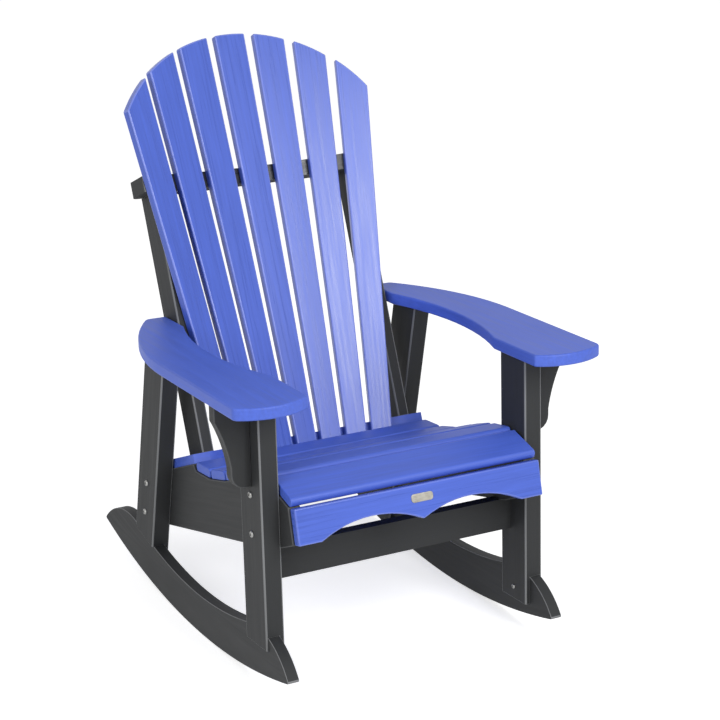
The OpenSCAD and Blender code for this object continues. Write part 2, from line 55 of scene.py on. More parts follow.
SIDES = ("left", "right")
SEAT_SLATS = [name for name in sorted(NODES) if name.startswith("seat_slat_")]
BACK_SLATS = [name for name in sorted(NODES) if name.startswith("back_slat_")]
ACROSS, UP = Vector((1, 0, 0)), Vector((0, 0, 1))
SLOT_BLUE, SLOT_BLACK, SLOT_STEEL = "blue_lumber", "black_lumber", "stainless"
WHITE = (1, 1, 1, 1)


# Sizes and colours


class BoardEdges(PropertyGroup):
    """Rounding of the boards' edges, and the painted highlight on them."""

    rocker: FloatProperty(
        name="Rocker", description="Rounding of the rockers' edges",
        default=0.004, min=0.0005, max=0.008, unit="LENGTH")
    frame: FloatProperty(
        name="Frame", description="Rounding of the side rails', stretcher's and brackets' edges",
        default=0.0022, min=0.0005, max=0.006, unit="LENGTH")
    leg_end: FloatProperty(
        name="Leg ends", description="Easing of the legs' cut ends and slots",
        default=0.0008, min=0.0003, max=0.0015, unit="LENGTH")
    apron: FloatProperty(
        name="Apron", description="Rounding of the front apron's edges",
        default=0.003, min=0.0005, max=0.006, unit="LENGTH")
    seat_end: FloatProperty(
        name="Seat slat ends", description="Rounding of the seat slats' ends",
        default=0.002, min=0.0005, max=0.0028, unit="LENGTH")
    back_slat: FloatProperty(
        name="Back slats", description="Rounding of the back slats' edges",
        default=0.003, min=0.0005, max=0.006, unit="LENGTH")
    back_rail: FloatProperty(
        name="Back rails", description="Easing of the back rails' and uprights' edges",
        default=0.0009, min=0.0003, max=0.002, unit="LENGTH")
    arm: FloatProperty(
        name="Arms", description="Rounding of the arms' edges",
        default=0.004, min=0.001, max=0.009, unit="LENGTH")
    rocker_tip: FloatProperty(
        name="Rocker tips", description="Rounding of the rockers' pointed tips",
        default=0.0055, min=0.001, max=0.015, unit="LENGTH")
    # The three shares below set how strongly a painted highlight lightens the rounded edges of the frame,
    # the back slats and the rails
    highlight_frame: FloatProperty(
        name="Rubbed frame edges", description="How far the legs', uprights' and rockers' edges are rubbed",
        default=1.0, min=0, max=1, subtype="FACTOR")
    highlight_slat: FloatProperty(
        name="Rubbed slat edges", description="How far the back slats' edges are rubbed",
        default=0.7, min=0, max=1, subtype="FACTOR")
    highlight_rail: FloatProperty(
        name="Rubbed rail edges", description="How far the rails', apron's and brackets' edges are rubbed",
        default=0.3, min=0, max=1, subtype="FACTOR")
    steps: IntProperty(
        name="Steps", description="Faces across each rounded edge",
        default=3, min=1, max=6)


class LumberFinish(PropertyGroup):
    """Colours and surface of the lumber and the fastenings."""

    blue: FloatVectorProperty(
        name="Blue", description="Colour of the arms, slats, apron and lower back rail",
        # Makes the chair and its stage.
        default=(0.062, 0.123, 0.570), size=3, min=0, max=1, subtype="COLOR")
    # Painted highlight: the lighter blue painted on the blue boards' rounded edges
    blue_highlight: FloatVectorProperty(
        name="Blue edges", description="Colour of the blue boards' rubbed edges",
        default=(0.240, 0.300, 0.760), size=3, min=0, max=1, subtype="COLOR")
    blue_rough: FloatProperty(
        name="Blue roughness", description="Middle roughness of the back slats, apron and upper rail",
        default=0.29, min=0.1, max=0.9, subtype="FACTOR")
    used_rough: FloatProperty(
        name="Used roughness", description="Middle roughness of the arms, seat and lower back rail",
        default=0.50, min=0.1, max=0.9, subtype="FACTOR")
    blue_shine: FloatProperty(
        name="Blue shine", description="Strength of the reflections of the blue boards and the upper rail",
        default=0.5, min=0, max=1, subtype="FACTOR")
    black: FloatVectorProperty(
        name="Black", description="Colour of the legs, rockers, uprights, brackets and other rails",
        default=(0.026, 0.0273, 0.0286), size=3, min=0, max=1, subtype="COLOR")
    # Painted highlight: the grey painted on the black boards' rounded edges
    black_highlight: FloatVectorProperty(
        name="Black edges", description="Colour of the black boards' rubbed edges",
        default=(0.210, 0.215, 0.220), size=3, min=0, max=1, subtype="COLOR")
    black_rough: FloatProperty(
        name="Black roughness", description="Middle roughness of the black boards",
        default=0.63, min=0.1, max=0.9, subtype="FACTOR")
    black_shine: FloatProperty(
        name="Black shine", description="Strength of the black boards' reflections",
        default=0.28, min=0, max=1, subtype="FACTOR")
    sawn_rough: FloatProperty(
        name="Sawn roughness", description="Roughness of the upper back rail's sawn faces",
        default=0.85, min=0.1, max=1, subtype="FACTOR")
    steel: FloatVectorProperty(
        name="Steel", description="Colour of the bolts, nuts and screws",
        default=(0.33, 0.33, 0.325), size=3, min=0, max=1, subtype="COLOR")
    steel_rough: FloatProperty(
        name="Steel roughness", description="Middle roughness of the bolts, nuts and screws",
        default=0.32, min=0.1, max=0.9, subtype="FACTOR")
    plate: FloatVectorProperty(
        name="Plate", description="Colour of the bare plate on the apron",
        default=(0.40, 0.385, 0.34), size=3, min=0, max=1, subtype="COLOR")
    plate_rough: FloatProperty(
        name="Plate roughness", description="Middle roughness of the bare plate",
        default=0.42, min=0.1, max=0.9, subtype="FACTOR")
    streak: FloatProperty(
        name="Streaks", description="How far the lengthwise streaks shift the colour",
        default=0.09, min=0, max=0.5, subtype="FACTOR")
    mottle: FloatProperty(
        name="Mottling", description="How far the patches and the grain darken the colour",
        default=0.06, min=0, max=0.5, subtype="FACTOR")
    relief: FloatProperty(
        name="Relief", description="Depth of the lengthwise grain",
        default=0.00007, min=0, max=0.001, unit="LENGTH")


class FasteningSizes(PropertyGroup):
    """Forms of the bolt heads, screw heads and nuts."""

    socket: FloatProperty(
        name="Socket", description="Width of a head's socket as a share of the head",
        default=0.42, min=0.2, max=0.6, subtype="FACTOR")
    socket_depth: FloatProperty(
        name="Socket depth", description="Depth of a head's socket as a share of the head's height",
        default=0.6, min=0.2, max=0.9, subtype="FACTOR")
    chamfer: FloatProperty(
        name="Nut chamfer", description="Chamfer of the nuts' faces",
        default=0.0008, min=0.0002, max=0.002, unit="LENGTH")
    end_chamfer: FloatProperty(
        name="Bolt end", description="Chamfer of the bolts' ends",
        default=0.0006, min=0.0002, max=0.002, unit="LENGTH")


class PlateSizes(PropertyGroup):
    """The bare plate on the front apron."""

    width: FloatProperty(
        name="Width", description="Width of the plate",
        default=0.047, min=0.02, max=0.08, unit="LENGTH")
    height: FloatProperty(
        name="Height", description="Height of the plate",
        default=0.0165, min=0.01, max=0.03, unit="LENGTH")
    thickness: FloatProperty(
        name="Thickness", description="Thickness of the plate",
        default=0.0016, min=0.0008, max=0.003, unit="LENGTH")
    corner: FloatProperty(
        name="Corners", description="Radius of the plate's corners",
        default=0.006, min=0.001, max=0.009, unit="LENGTH")
    place: FloatProperty(
        name="Place", description="Height of the plate's middle as a share of the apron's height",
        default=0.64, min=0.3, max=0.8, subtype="FACTOR")


class StageSettings(PropertyGroup):
    """Camera, lamps and floor."""

    camera: FloatVectorProperty(
        name="Camera", description="Place of the camera",
        default=(-1.82705, -3.53796, 1.84152), size=3, subtype="TRANSLATION")
    right: FloatVectorProperty(
        name="Right", description="Direction across the picture",
        default=(0.87903, -0.47676, 0.0), size=3, subtype="DIRECTION")
    up: FloatVectorProperty(
        name="Up", description="Direction up the picture",
        default=(0.15047, 0.27743, 0.94889), size=3, subtype="DIRECTION")
    lens: FloatProperty(
        name="Lens", description="Focal length on a 36 mm sensor, in millimetres",
        default=103.615, min=20, max=300, unit="CAMERA")
    key: FloatProperty(
        name="Key lamp", description="Power of the soft lamp in front of the chair, in watts",
        default=60, min=0, max=1000, unit="POWER")
    fill: FloatProperty(
        name="Side lamp", description="Power of the broad lamp on the left, in watts",
        default=48, min=0, max=1000, unit="POWER")
    sky: FloatProperty(
        name="Surround", description="Strength of the white surround's light on the chair",
        default=0.46, min=0, max=2)
    floor_glow: FloatProperty(
        name="Floor white", description="Share of the floor's white that shadows don't reach",
        default=0.61, min=0, max=1, subtype="FACTOR")
    floor_tone: FloatProperty(
        name="Floor tone", description="Reflectance of the floor in the rest of its white",
        default=0.87, min=0, max=1, subtype="FACTOR")


# Finishes

# Patterns: scale along, across and through a board, or along the metal's X, Y and Z, then detail
STREAKS = ((5.0, 150.0, 150.0), 4.0)
GRAIN = ((22.0, 800.0, 800.0), 2.0)
PATCHES = ((4.0, 14.0, 14.0), 2.0)
STEEL_MARKS = ((900.0, 900.0, 900.0), 3.0)
PLATE_MARKS = ((30.0, 900.0, 900.0), 3.0)
TARNISH = ((120.0, 120.0, 120.0), 3.0)
NOISE_ROUGHNESS = 0.55

# The part of a noise that is spread over a range of roughness, and over a range of colours
NOISE_MIDDLE = (0.3, 0.7)
SHADE_MIDDLE = (0.32, 0.68)

# How far roughness and colour stray from their middle
LUMBER_GLOSS = (-0.05, 0.07)
METAL_GLOSS = (-0.08, 0.1)
METAL_SHADE = (-0.12, 0.08)
TARNISHED = (0.82, 0.81, 0.79, 1)  # what tarnish leaves of the metal's colour
LEAST_HIGHLIT = 0.65  # share of the painted edge highlight that is left between the patches

# Relief
STEEL_RELIEF, PLATE_RELIEF = 0.00002, 0.00003  # depth of the metal's marks in metres
STREAK_RELIEF = 0.5  # depth of the lumber's streaks as a share of its grain's
RELIEF_STRENGTH = 0.6


def new_tree(name):
    """A fresh material with an empty node tree."""
    material = bpy.data.materials.new(name)
    material.use_nodes = True
    material.node_tree.nodes.clear()
    return material, material.node_tree


def add(tree, kind, **settings):
    """A node of that kind with its settings made."""
    node = tree.nodes.new(kind)
    for key, value in settings.items():
        setattr(node, key, value)
    return node


def stretched_noise(tree, source, scale, detail):
    """Noise stretched by a scale for each direction."""
    mapping = add(tree, "ShaderNodeMapping")
    mapping.inputs["Scale"].default_value = scale
    tree.links.new(source, mapping.inputs["Vector"])
    noise = add(tree, "ShaderNodeTexNoise", noise_dimensions="3D")
    noise.inputs["Scale"].default_value = 1.0
    noise.inputs["Detail"].default_value = detail
    noise.inputs["Roughness"].default_value = NOISE_ROUGHNESS
    tree.links.new(mapping.outputs["Vector"], noise.inputs["Vector"])
    return noise.outputs["Fac"]


def spread(tree, source, low, high):
    """Maps the middle of a noise onto a range."""
    node = add(tree, "ShaderNodeMapRange")
    for socket, value in zip(("From Min", "From Max", "To Min", "To Max"), (*NOISE_MIDDLE, low, high)):
        node.inputs[socket].default_value = value
    tree.links.new(source, node.inputs["Value"])
    return node.outputs["Result"]


def shifted(colour, share):
    """A colour made lighter or darker by a share of itself."""
    return tuple(min(1.0, c * (1.0 + share)) for c in colour) + (1.0,)


def blend_by(tree, mask, low, high, source=None):
    """Colour between low and high by a noise, multiplied into a colour that is already there."""
    ramp = add(tree, "ShaderNodeValToRGB")
    for stop, position, colour in zip(ramp.color_ramp.elements, SHADE_MIDDLE, (low, high)):
        stop.position, stop.color = position, colour
    tree.links.new(mask, ramp.inputs["Fac"])
    if source is None:
        return ramp.outputs["Color"]
    mix = add(tree, "ShaderNodeMix", data_type="RGBA", blend_type="MULTIPLY")
    mix.inputs["Factor"].default_value = 1.0
    tree.links.new(source, mix.inputs["A"])
    tree.links.new(ramp.outputs["Color"], mix.inputs["B"])
    return mix.outputs["Result"]


def close_tree(tree, colour, roughness, height, relief, metallic=0.0, specular=0.5):
    """The shader with its colour, roughness and relief."""
    shader = add(tree, "ShaderNodeBsdfPrincipled")
    shader.inputs["Metallic"].default_value = metallic
    shader.inputs["Specular IOR Level"].default_value = specular
    bump = add(tree, "ShaderNodeBump")
    bump.inputs["Strength"].default_value = RELIEF_STRENGTH
    bump.inputs["Distance"].default_value = relief
    output = add(tree, "ShaderNodeOutputMaterial")
    tree.links.new(height, bump.inputs["Height"])
    tree.links.new(bump.outputs["Normal"], shader.inputs["Normal"])
    tree.links.new(colour, shader.inputs["Base Color"])
    tree.links.new(roughness, shader.inputs["Roughness"])
    tree.links.new(shader.outputs["BSDF"], output.inputs["Surface"])


def highlit(tree, source, edge, patches):
    """The board's colour with a painted highlight on its rounded edges, lighter in patches."""
    edge_highlight = add(tree, "ShaderNodeAttribute", attribute_name="edge_highlight")
    share = add(tree, "ShaderNodeMath", operation="MULTIPLY", use_clamp=True)
    tree.links.new(edge_highlight.outputs["Fac"], share.inputs[0])
    tree.links.new(spread(tree, patches, LEAST_HIGHLIT, 1.0), share.inputs[1])
    mix = add(tree, "ShaderNodeMix", data_type="RGBA")
    tree.links.new(share.outputs["Value"], mix.inputs["Factor"])
    tree.links.new(source, mix.inputs["A"])
    # the edge colour is a painted highlight
    mix.inputs["B"].default_value = (*edge, 1)
    return mix.outputs["Result"]


def dulled(tree, source, rough):
    """The board's roughness with its sawn faces dulled."""
    sawn = add(tree, "ShaderNodeAttribute", attribute_name="sawn")
    mix = add(tree, "ShaderNodeMix", data_type="FLOAT")
    tree.links.new(sawn.outputs["Fac"], mix.inputs["Factor"])
    tree.links.new(source, mix.inputs["A"])
    mix.inputs["B"].default_value = rough
    return mix.outputs["Result"]


def lumber(name, colour, edge, rough, shine):
    """Moulded lumber board: lengthwise streaks, broad patches and fine grain that follow the board."""
    found = bpy.data.materials.get(name)
    if found:
        return found
    finish = bpy.context.scene.chair_finish
    material, tree = new_tree(name)
    board = add(tree, "ShaderNodeAttribute", attribute_name="board").outputs["Vector"]
    streaks = stretched_noise(tree, board, *STREAKS)
    grain = stretched_noise(tree, board, *GRAIN)
    patches = stretched_noise(tree, board, *PATCHES)
    mottled = shifted(WHITE[:3], -finish.mottle)
    shade = blend_by(tree, streaks, shifted(colour, -finish.streak), shifted(colour, finish.streak))
    shade = blend_by(tree, patches, mottled, WHITE, shade)
    shade = blend_by(tree, grain, mottled, WHITE, shade)
    # painted highlight on the rounded edges, lighter in patches
    shade = highlit(tree, shade, edge, patches)
    height = add(tree, "ShaderNodeMath", operation="MULTIPLY_ADD")
    height.inputs[1].default_value = STREAK_RELIEF
    tree.links.new(streaks, height.inputs[0])
    tree.links.new(grain, height.inputs[2])
    gloss = spread(tree, streaks, *(rough + step for step in LUMBER_GLOSS))
    gloss = dulled(tree, gloss, finish.sawn_rough)
    close_tree(tree, shade, gloss, height.outputs["Value"], finish.relief, specular=shine)
    return material


def board_finish(kind):
    """Material and slot of a kind of board."""
    look = bpy.context.scene.chair_finish
    # each pairs the board's colour with the colour of the painted highlight on its rounded edges
    blue, black = (look.blue, look.blue_highlight), (look.black, look.black_highlight)
    if kind == "blue":
        return lumber("blue_lumber_board", *blue, look.blue_rough, look.blue_shine), SLOT_BLUE
    if kind == "used blue":
        return lumber("blue_lumber_used", *blue, look.used_rough, look.blue_shine), SLOT_BLUE
    if kind == "black":
        return lumber("black_lumber_board", *black, look.black_rough, look.black_shine), SLOT_BLACK
    if kind == "smooth black":
        return lumber("black_lumber_smooth", *black, look.blue_rough, look.blue_shine), SLOT_BLACK
    raise RuntimeError(f"there is no finish for {kind} boards")


def brushed(name, colour, pattern, rough, relief):
    """Bare metal with fine brush marks and a little tarnish."""
    found = bpy.data.materials.get(name)
    if found:
        return found
    material, tree = new_tree(name)
    place = add(tree, "ShaderNodeTexCoord").outputs["Object"]
    marks = stretched_noise(tree, place, *pattern)
    tarnish = stretched_noise(tree, place, *TARNISH)
    shade = blend_by(tree, marks, *(shifted(colour, share) for share in METAL_SHADE))
    shade = blend_by(tree, tarnish, TARNISHED, WHITE, shade)
    gloss = spread(tree, marks, *(rough + step for step in METAL_GLOSS))
    close_tree(tree, shade, gloss, marks, relief, metallic=1.0)
    return material


def steel():
    """Finish of the bolts, nuts and screws."""
    finish = bpy.context.scene.chair_finish
    return brushed("stainless_steel", finish.steel, STEEL_MARKS, finish.steel_rough, STEEL_RELIEF)


def pewter():
    """Finish of the bare plate."""
    finish = bpy.context.scene.chair_finish
    return brushed("pewter_plate", finish.plate, PLATE_MARKS, finish.plate_rough, PLATE_RELIEF)


# Boards

# How a board's edges are found: lengths in metres, turns in radians
MERGE = 1e-5  # points that lie nearer are one
FLAT = math.radians(0.3)  # faces that turn less are one
CORNER = math.radians(28)  # edges that turn more are the board's corners
SHARP = CORNER + math.radians(10)  # edges that turn more are shaded sharp
HOLE_RIM = 0.02  # groups of corner edges that reach less are rims of bolt holes
SHORT_EDGE = 0.0012  # corner edges that are shorter belong to a tightly rounded corner
EASED_WIDTH = 0.0024  # faces that are narrower may be eased edges
EASED_TURN = math.radians(5)  # and they turn more than this from their neighbours
TIP_REACH = 10 * MERGE  # how near to a rocker's end its tip's edges lie
FRONT_FACING = 0.5  # how far a face of the front looks forward

# Step in the pattern from one board to the next, so that no two boards look alike
GRAIN_SHIFT = Vector((0.37, 0.113, 0.231))


def merged_copy(node):
    """A copy of a node's mesh, merged, with each flat face whole."""
    if node not in NODES:
        raise RuntimeError(f"the frame has no board named {node}")
    bm = bmesh.new()
    bm.from_mesh(NODES[node].data)
    bmesh.ops.remove_doubles(bm, verts=bm.verts, dist=MERGE)
    bmesh.ops.dissolve_limit(bm, angle_limit=FLAT, verts=bm.verts, edges=bm.edges)
    # each face's share of the painted highlight on rounded edges
    bm.faces.layers.float.new("edge_highlight")
    return bm


def linked_groups(items, joined):
    """Groups of the items that joined leads from one to the next."""
    left, groups = set(items), []
    for item in items:
        if item not in left:
            continue
        left.remove(item)
        group, todo = [], [item]
        while todo:
            now = todo.pop()
            group.append(now)
            for other in joined(now):
                if other in left:
                    left.remove(other)
                    todo.append(other)
        groups.append(group)
    return groups


def edge_neighbours(edge):
    """The edges that share an end with an edge, itself among them."""
    return [other for vert in edge.verts for other in vert.link_edges]


def extent(verts):
    """Lowest and highest corner of some vertices."""
    low = Vector(min(v.co[k] for v in verts) for k in range(3))
    high = Vector(max(v.co[k] for v in verts) for k in range(3))
    return low, high


def outline(bm):
    """The board's corner edges, without the rims of its bolt holes."""
    sharp = [e for e in bm.edges if len(e.link_faces) == 2 and e.calc_face_angle(0.0) > CORNER]
    kept = []
    for group in linked_groups(sharp, edge_neighbours):
        low, high = extent([v for e in group for v in e.verts])
        if (high - low).length > HOLE_RIM:
            kept += group
    return kept


def close_corners(bm):
    """Draws each tightly rounded corner of the outline together, so that a wide rounding can turn it."""
    short = [e for e in outline(bm) if e.calc_length() < SHORT_EDGE]
    for group in linked_groups(short, edge_neighbours):
        verts = list(dict.fromkeys(v for e in group for v in e.verts))
        middle = sum((v.co for v in verts), Vector()) / len(verts)
        bmesh.ops.pointmerge(bm, verts=verts, merge_co=middle)
    bmesh.ops.dissolve_degenerate(bm, dist=MERGE, edges=bm.edges)


def board_axes(bm):
    """Directions along, across and through a straight board, from its longest edge and largest face."""
    longest = max(bm.edges, key=lambda e: e.calc_length())
    along = (longest.verts[1].co - longest.verts[0].co).normalized()
    through = max(bm.faces, key=lambda f: f.calc_area()).normal
    across = through.cross(along).normalized()
    return Matrix((along, across, along.cross(across)))


def straight_grain(axes):
    """Grain that runs along a straight board."""
    return lambda point: axes @ point


def arched_grain(centre):
    """Grain that runs round a centre seen from the side, as in a board bent to a curve."""
    def place(point):
        arm = point - centre
        reach = math.hypot(arm.y, arm.z)
        return Vector((math.atan2(arm.y, -arm.z) * reach, reach, arm.x))
    return place


def show(bm, name, material, replaced):
    """Makes a finished piece of the chair from a bmesh and puts it in place of its CAD nodes."""
    mesh = bpy.data.meshes.new(name)
    bm.to_mesh(mesh)
    bm.free()
    mesh.set_sharp_from_angle(angle=SHARP)
    for polygon in mesh.polygons:
        polygon.use_smooth = True
    mesh.materials.append(material)
    piece = bpy.data.objects.new(name, mesh)
    bpy.context.scene.collection.objects.link(piece)
    weighted = piece.modifiers.new("Even faces", "WEIGHTED_NORMAL")
    weighted.keep_sharp = True
    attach(piece, "root")
    if replaced:
        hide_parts(*replaced)
    return piece


def mark_grain(mesh, grain, number):
    """Writes each point's place in its board, apart from the other boards, for the grain."""
    shift = GRAIN_SHIFT * number
    board = mesh.attributes.new("board", "FLOAT_VECTOR", "POINT")
    board.data.foreach_set("vector", [c for v in mesh.vertices for c in grain(v.co) + shift])


def eased_faces(bm):
    """The narrow faces along edges that are already eased: they turn from both of their neighbours."""
    found = []
    for face in bm.faces:
        longest = max(edge.calc_length() for edge in face.edges)
        long_edges = [edge for edge in face.edges if edge.calc_length() > longest / 2]
        turned = all(edge.calc_face_angle(0.0) > EASED_TURN for edge in long_edges)
        if turned and face.calc_area() / longest < EASED_WIDTH:
            found.append(face)
    return found


def bevel(bm, geom, size, steps, affect="EDGES"):
    """Rounds some edges or corners and gives the new faces."""
    made = bmesh.ops.bevel(
        bm, geom=geom, offset=size, offset_type="OFFSET", segments=steps, profile=0.5, affect=affect,
        clamp_overlap=True, material=-1)
    return made["faces"]


def rounded(bm, edges, size, highlight):
    """Rounds some edges of a board and marks how much painted highlight the new faces get."""
    edge_highlight = bm.faces.layers.float["edge_highlight"]
    for face in bevel(bm, edges, size, bpy.context.scene.chair_edges.steps):
        face[edge_highlight] = highlight


def round_board(node, rounding, kind, highlight=0.0, grain=None, prepare=None):
    """A board with its edges rounded, in place of its CAD node."""
    bm = merged_copy(node)
    axes = board_axes(bm)
    if prepare:
        prepare(bm)
    edges = outline(bm)
    if not edges:
        raise RuntimeError(f"{node} has no edges to round")
    edge_highlight = bm.faces.layers.float["edge_highlight"]
    # faces of edges that are already eased get the painted highlight too
    for face in eased_faces(bm):
        face[edge_highlight] = highlight
    rounded(bm, edges, rounding, highlight)
    material, slot = board_finish(kind)
    piece = show(bm, node + "_board", material, [node])
    mark_grain(piece.data, grain or straight_grain(axes), sorted(NODES).index(node))


def sawn_behind(bm):
    """Marks all of a board but its front as sawn, which is duller."""
    sawn = bm.faces.layers.float.new("sawn")
    for face in bm.faces:
        if face.normal.y > -FRONT_FACING:
            face[sawn] = 1.0


def blunt_tips(bm):
    """Rounds the two pointed tips of a rocker."""
    reach = [v.co.y for v in bm.verts]
    tips = (min(reach), max(reach))
    ends = [e for e in bm.edges if any(all(abs(v.co.y - y) < TIP_REACH for v in e.verts) for y in tips)]
    edges = bpy.context.scene.chair_edges
    # the rounded tips get the frame's painted highlight
    rounded(bm, ends, edges.rocker_tip, edges.highlight_frame)


# In the operators below, the highlight share passed to round_board is how strongly a painted highlight
# lightens the board's rounded edges
class CHAIR_OT_rockers(Operator):
    """Round the two rockers and give them a grain that follows their curve"""

    bl_idname = "chair.rockers"
    bl_label = "Rockers"

    def execute(self, context):
        edges = context.scene.chair_edges
        for side in SIDES:
            node = "rocker_" + side
            verts = NODES[node].data.vertices
            rest = min(verts, key=lambda v: v.co.z).co
            tip = min(verts, key=lambda v: v.co.y).co
            rise = tip.z - rest.z
            if rise <= 0:
                raise RuntimeError(f"{node} doesn't curve up to its tip")
            radius = ((tip.y - rest.y) ** 2 + rise ** 2) / (2 * rise)
            grain = arched_grain(rest + UP * radius)
            round_board(node, edges.rocker, "black", highlight=edges.highlight_frame, grain=grain, prepare=blunt_tips)
        return {"FINISHED"}


class CHAIR_OT_legs(Operator):
    """Ease the cut ends of the four legs"""

    bl_idname = "chair.legs"
    bl_label = "Legs"

    def execute(self, context):
        edges = context.scene.chair_edges
        for end in ("front", "rear"):
            for side in SIDES:
                round_board(f"{end}_leg_{side}", edges.leg_end, "black", highlight=edges.highlight_frame)
        return {"FINISHED"}


class CHAIR_OT_seat_frame(Operator):
    """Round the side rails, the front stretcher and the apron"""

    bl_idname = "chair.seat_frame"
    bl_label = "Seat frame"

    def execute(self, context):
        edges = context.scene.chair_edges
        for node in ("side_rail_left", "side_rail_right", "front_stretcher"):
            round_board(node, edges.frame, "black", highlight=edges.highlight_rail)
        round_board("front_apron", edges.apron, "blue", highlight=edges.highlight_rail)
        return {"FINISHED"}


class CHAIR_OT_seat_slats(Operator):
    """Round the ends of the seat slats"""

    bl_idname = "chair.seat_slats"
    bl_label = "Seat slats"

    def execute(self, context):
        edges = context.scene.chair_edges
        for node in SEAT_SLATS:
            round_board(node, edges.seat_end, "used blue")
        return {"FINISHED"}


class CHAIR_OT_back_frame(Operator):
    """Ease the two back rails and the uprights between them"""

    bl_idname = "chair.back_frame"
    bl_label = "Back frame"

    def execute(self, context):
        edges = context.scene.chair_edges
        round_board("lower_back_rail", edges.back_rail, "used blue")
        round_board(
            "upper_back_rail", edges.back_rail, "smooth black", highlight=edges.highlight_rail, prepare=sawn_behind)
        for side in SIDES:
            round_board("back_upright_" + side, edges.back_rail, "black", highlight=edges.highlight_frame)
        return {"FINISHED"}


class CHAIR_OT_back_slats(Operator):
    """Round the fanned slats of the back"""

    bl_idname = "chair.back_slats"
    bl_label = "Back slats"

    def execute(self, context):
        edges = context.scene.chair_edges
        for node in BACK_SLATS:
            round_board(node, edges.back_slat, "blue", highlight=edges.highlight_slat)
        return {"FINISHED"}


class CHAIR_OT_arms(Operator):
    """Round the wide arms over and under"""

    bl_idname = "chair.arms"
    bl_label = "Arms"

    def execute(self, context):
        edges = context.scene.chair_edges
        for side in SIDES:
            round_board("arm_" + side, edges.arm, "used blue", prepare=close_corners)
        return {"FINISHED"}


class CHAIR_OT_arm_brackets(Operator):
    """Round the flared brackets under the arms"""

    bl_idname = "chair.arm_brackets"
    bl_label = "Arm brackets"

    def execute(self, context):
        edges = context.scene.chair_edges
        for side in SIDES:
            round_board("arm_bracket_" + side, edges.frame, "black", highlight=edges.highlight_rail)
        return {"FINISHED"}


# Fastenings

# Turned forms, with lengths in metres
TURNS = 24  # faces round each form
HEX_SIDES = 6
SPIN_MERGE = 1e-6  # points of a turned form that lie nearer are one
ON_AXIS = 1e-4  # points that lie nearer to the axis are on it

# Heads and nuts, as shares of a height or a radius
DOME_ANGLES = (0, 18, 36, 54, 72)  # the dome's steps in degrees
DOME_TOP = 1.15  # radius of the dome's top in socket radii
SOCKET_MOUTH = 0.97  # height where the socket opens
SOCKET_WALL = 0.02  # how near to the socket's radius its wall lies
HEAD_RIM = 0.12  # height where the rim starts
HEAD_FOOT = 0.97  # radius at the foot
HEAD_WIDE = 0.8  # radius beyond which a place belongs to the head
NUT_FACE = 0.96  # radius of a nut's chamfered face in half widths

# The bare plate
PLATE_CORNER_STEPS = 6
PLATE_RIM_STEPS = 3
PLATE_RIM = 0.6  # rounding of the rim as a share of the thickness


def spun(profile):
    """Turns a profile of (along, radius) points round the X axis into a closed form."""
    bm = bmesh.new()
    verts = [bm.verts.new((along, radius, 0.0)) for along, radius in profile]
    edges = [bm.edges.new(pair) for pair in zip(verts, verts[1:])]
    bmesh.ops.spin(
        bm, geom=verts + edges, cent=(0, 0, 0), axis=ACROSS, angle=2 * math.pi, steps=TURNS, use_merge=True)
    bmesh.ops.remove_doubles(bm, verts=bm.verts, dist=SPIN_MERGE)
    bmesh.ops.recalc_face_normals(bm, faces=bm.faces)
    return bm


def six_sided(verts, flat):
    """Moves a ring of vertices round the X axis onto a hexagon of that half width."""
    part = 2 * math.pi / HEX_SIDES
    for v in verts:
        turn = math.atan2(v.co.z, v.co.y) % part - part / 2
        reach = flat / math.cos(turn)
        v.co.y, v.co.z = Vector((v.co.y, v.co.z)).normalized() * reach


def domed_bolt(shank, length, head, rise, sizes):
    """A bolt along X by its radii: a domed head with a hexagonal socket below x = 0 and its shank above."""
    key = head * sizes.socket
    floor = -rise * (1 - sizes.socket_depth)
    top = key * DOME_TOP
    turns = [math.radians(angle) for angle in DOME_ANGLES]
    dome = [(-rise * math.cos(turn), top + (head - top) * math.sin(turn)) for turn in turns]
    end = sizes.end_chamfer
    bm = spun([
        (floor, 0.0), (floor, key), (-rise * SOCKET_MOUTH, key), *dome, (-rise * HEAD_RIM, head),
        (0.0, head * HEAD_FOOT), (0.0, shank), (length - end, shank), (length, shank - end), (length, 0.0)])
    wall = [v for v in bm.verts if abs(math.hypot(v.co.y, v.co.z) - key) < key * SOCKET_WALL]
    six_sided(wall, key)
    return bm


def hex_nut(bore, corner, height, cut):
    """A hexagonal nut along X by its radii, with chamfered faces and a bore, from x = 0 up."""
    flat = corner * math.cos(math.pi / HEX_SIDES)
    face = flat * NUT_FACE
    bm = spun([
        (0.0, bore), (0.0, face), (cut, corner), (height - cut, corner), (height, face), (height, bore),
        (0.0, bore)])
    six_sided([v for v in bm.verts if math.hypot(v.co.y, v.co.z) > flat], flat)
    return bm


def solids_of(node):
    """The vertex places of each separate solid of a node."""
    bm = merged_copy(node)
    groups = linked_groups(list(bm.verts), lambda v: [e.other_vert(v) for e in v.link_edges])
    solids = [[v.co.copy() for v in group] for group in groups]
    bm.free()
    return solids


def middle_of(points):
    """Mean place of some points."""
    return sum(points, Vector()) / len(points)


def off_axis(point, place, axis):
    """Distance of a point from the line through a place along an axis."""
    arm = point - place
    return (arm - axis * arm.dot(axis)).length


def turned_sizes(points, axis):
    """Foot, length, largest radius and smallest radius of a turned solid along an axis."""
    middle = middle_of(points)
    steps = [(p - middle).dot(axis) for p in points]
    low, high = min(steps), max(steps)
    foot = middle_of([p for p, step in zip(points, steps) if step < low + MERGE])
    radii = [off_axis(p, foot, axis) for p in points]
    return foot, high - low, max(radii), min(r for r in radii if r > ON_AXIS)


def along_matrix(axis, place):
    """Puts the X axis along a direction at a place."""
    return Matrix.Translation(place) @ axis.to_track_quat("X", "Z").to_matrix().to_4x4()


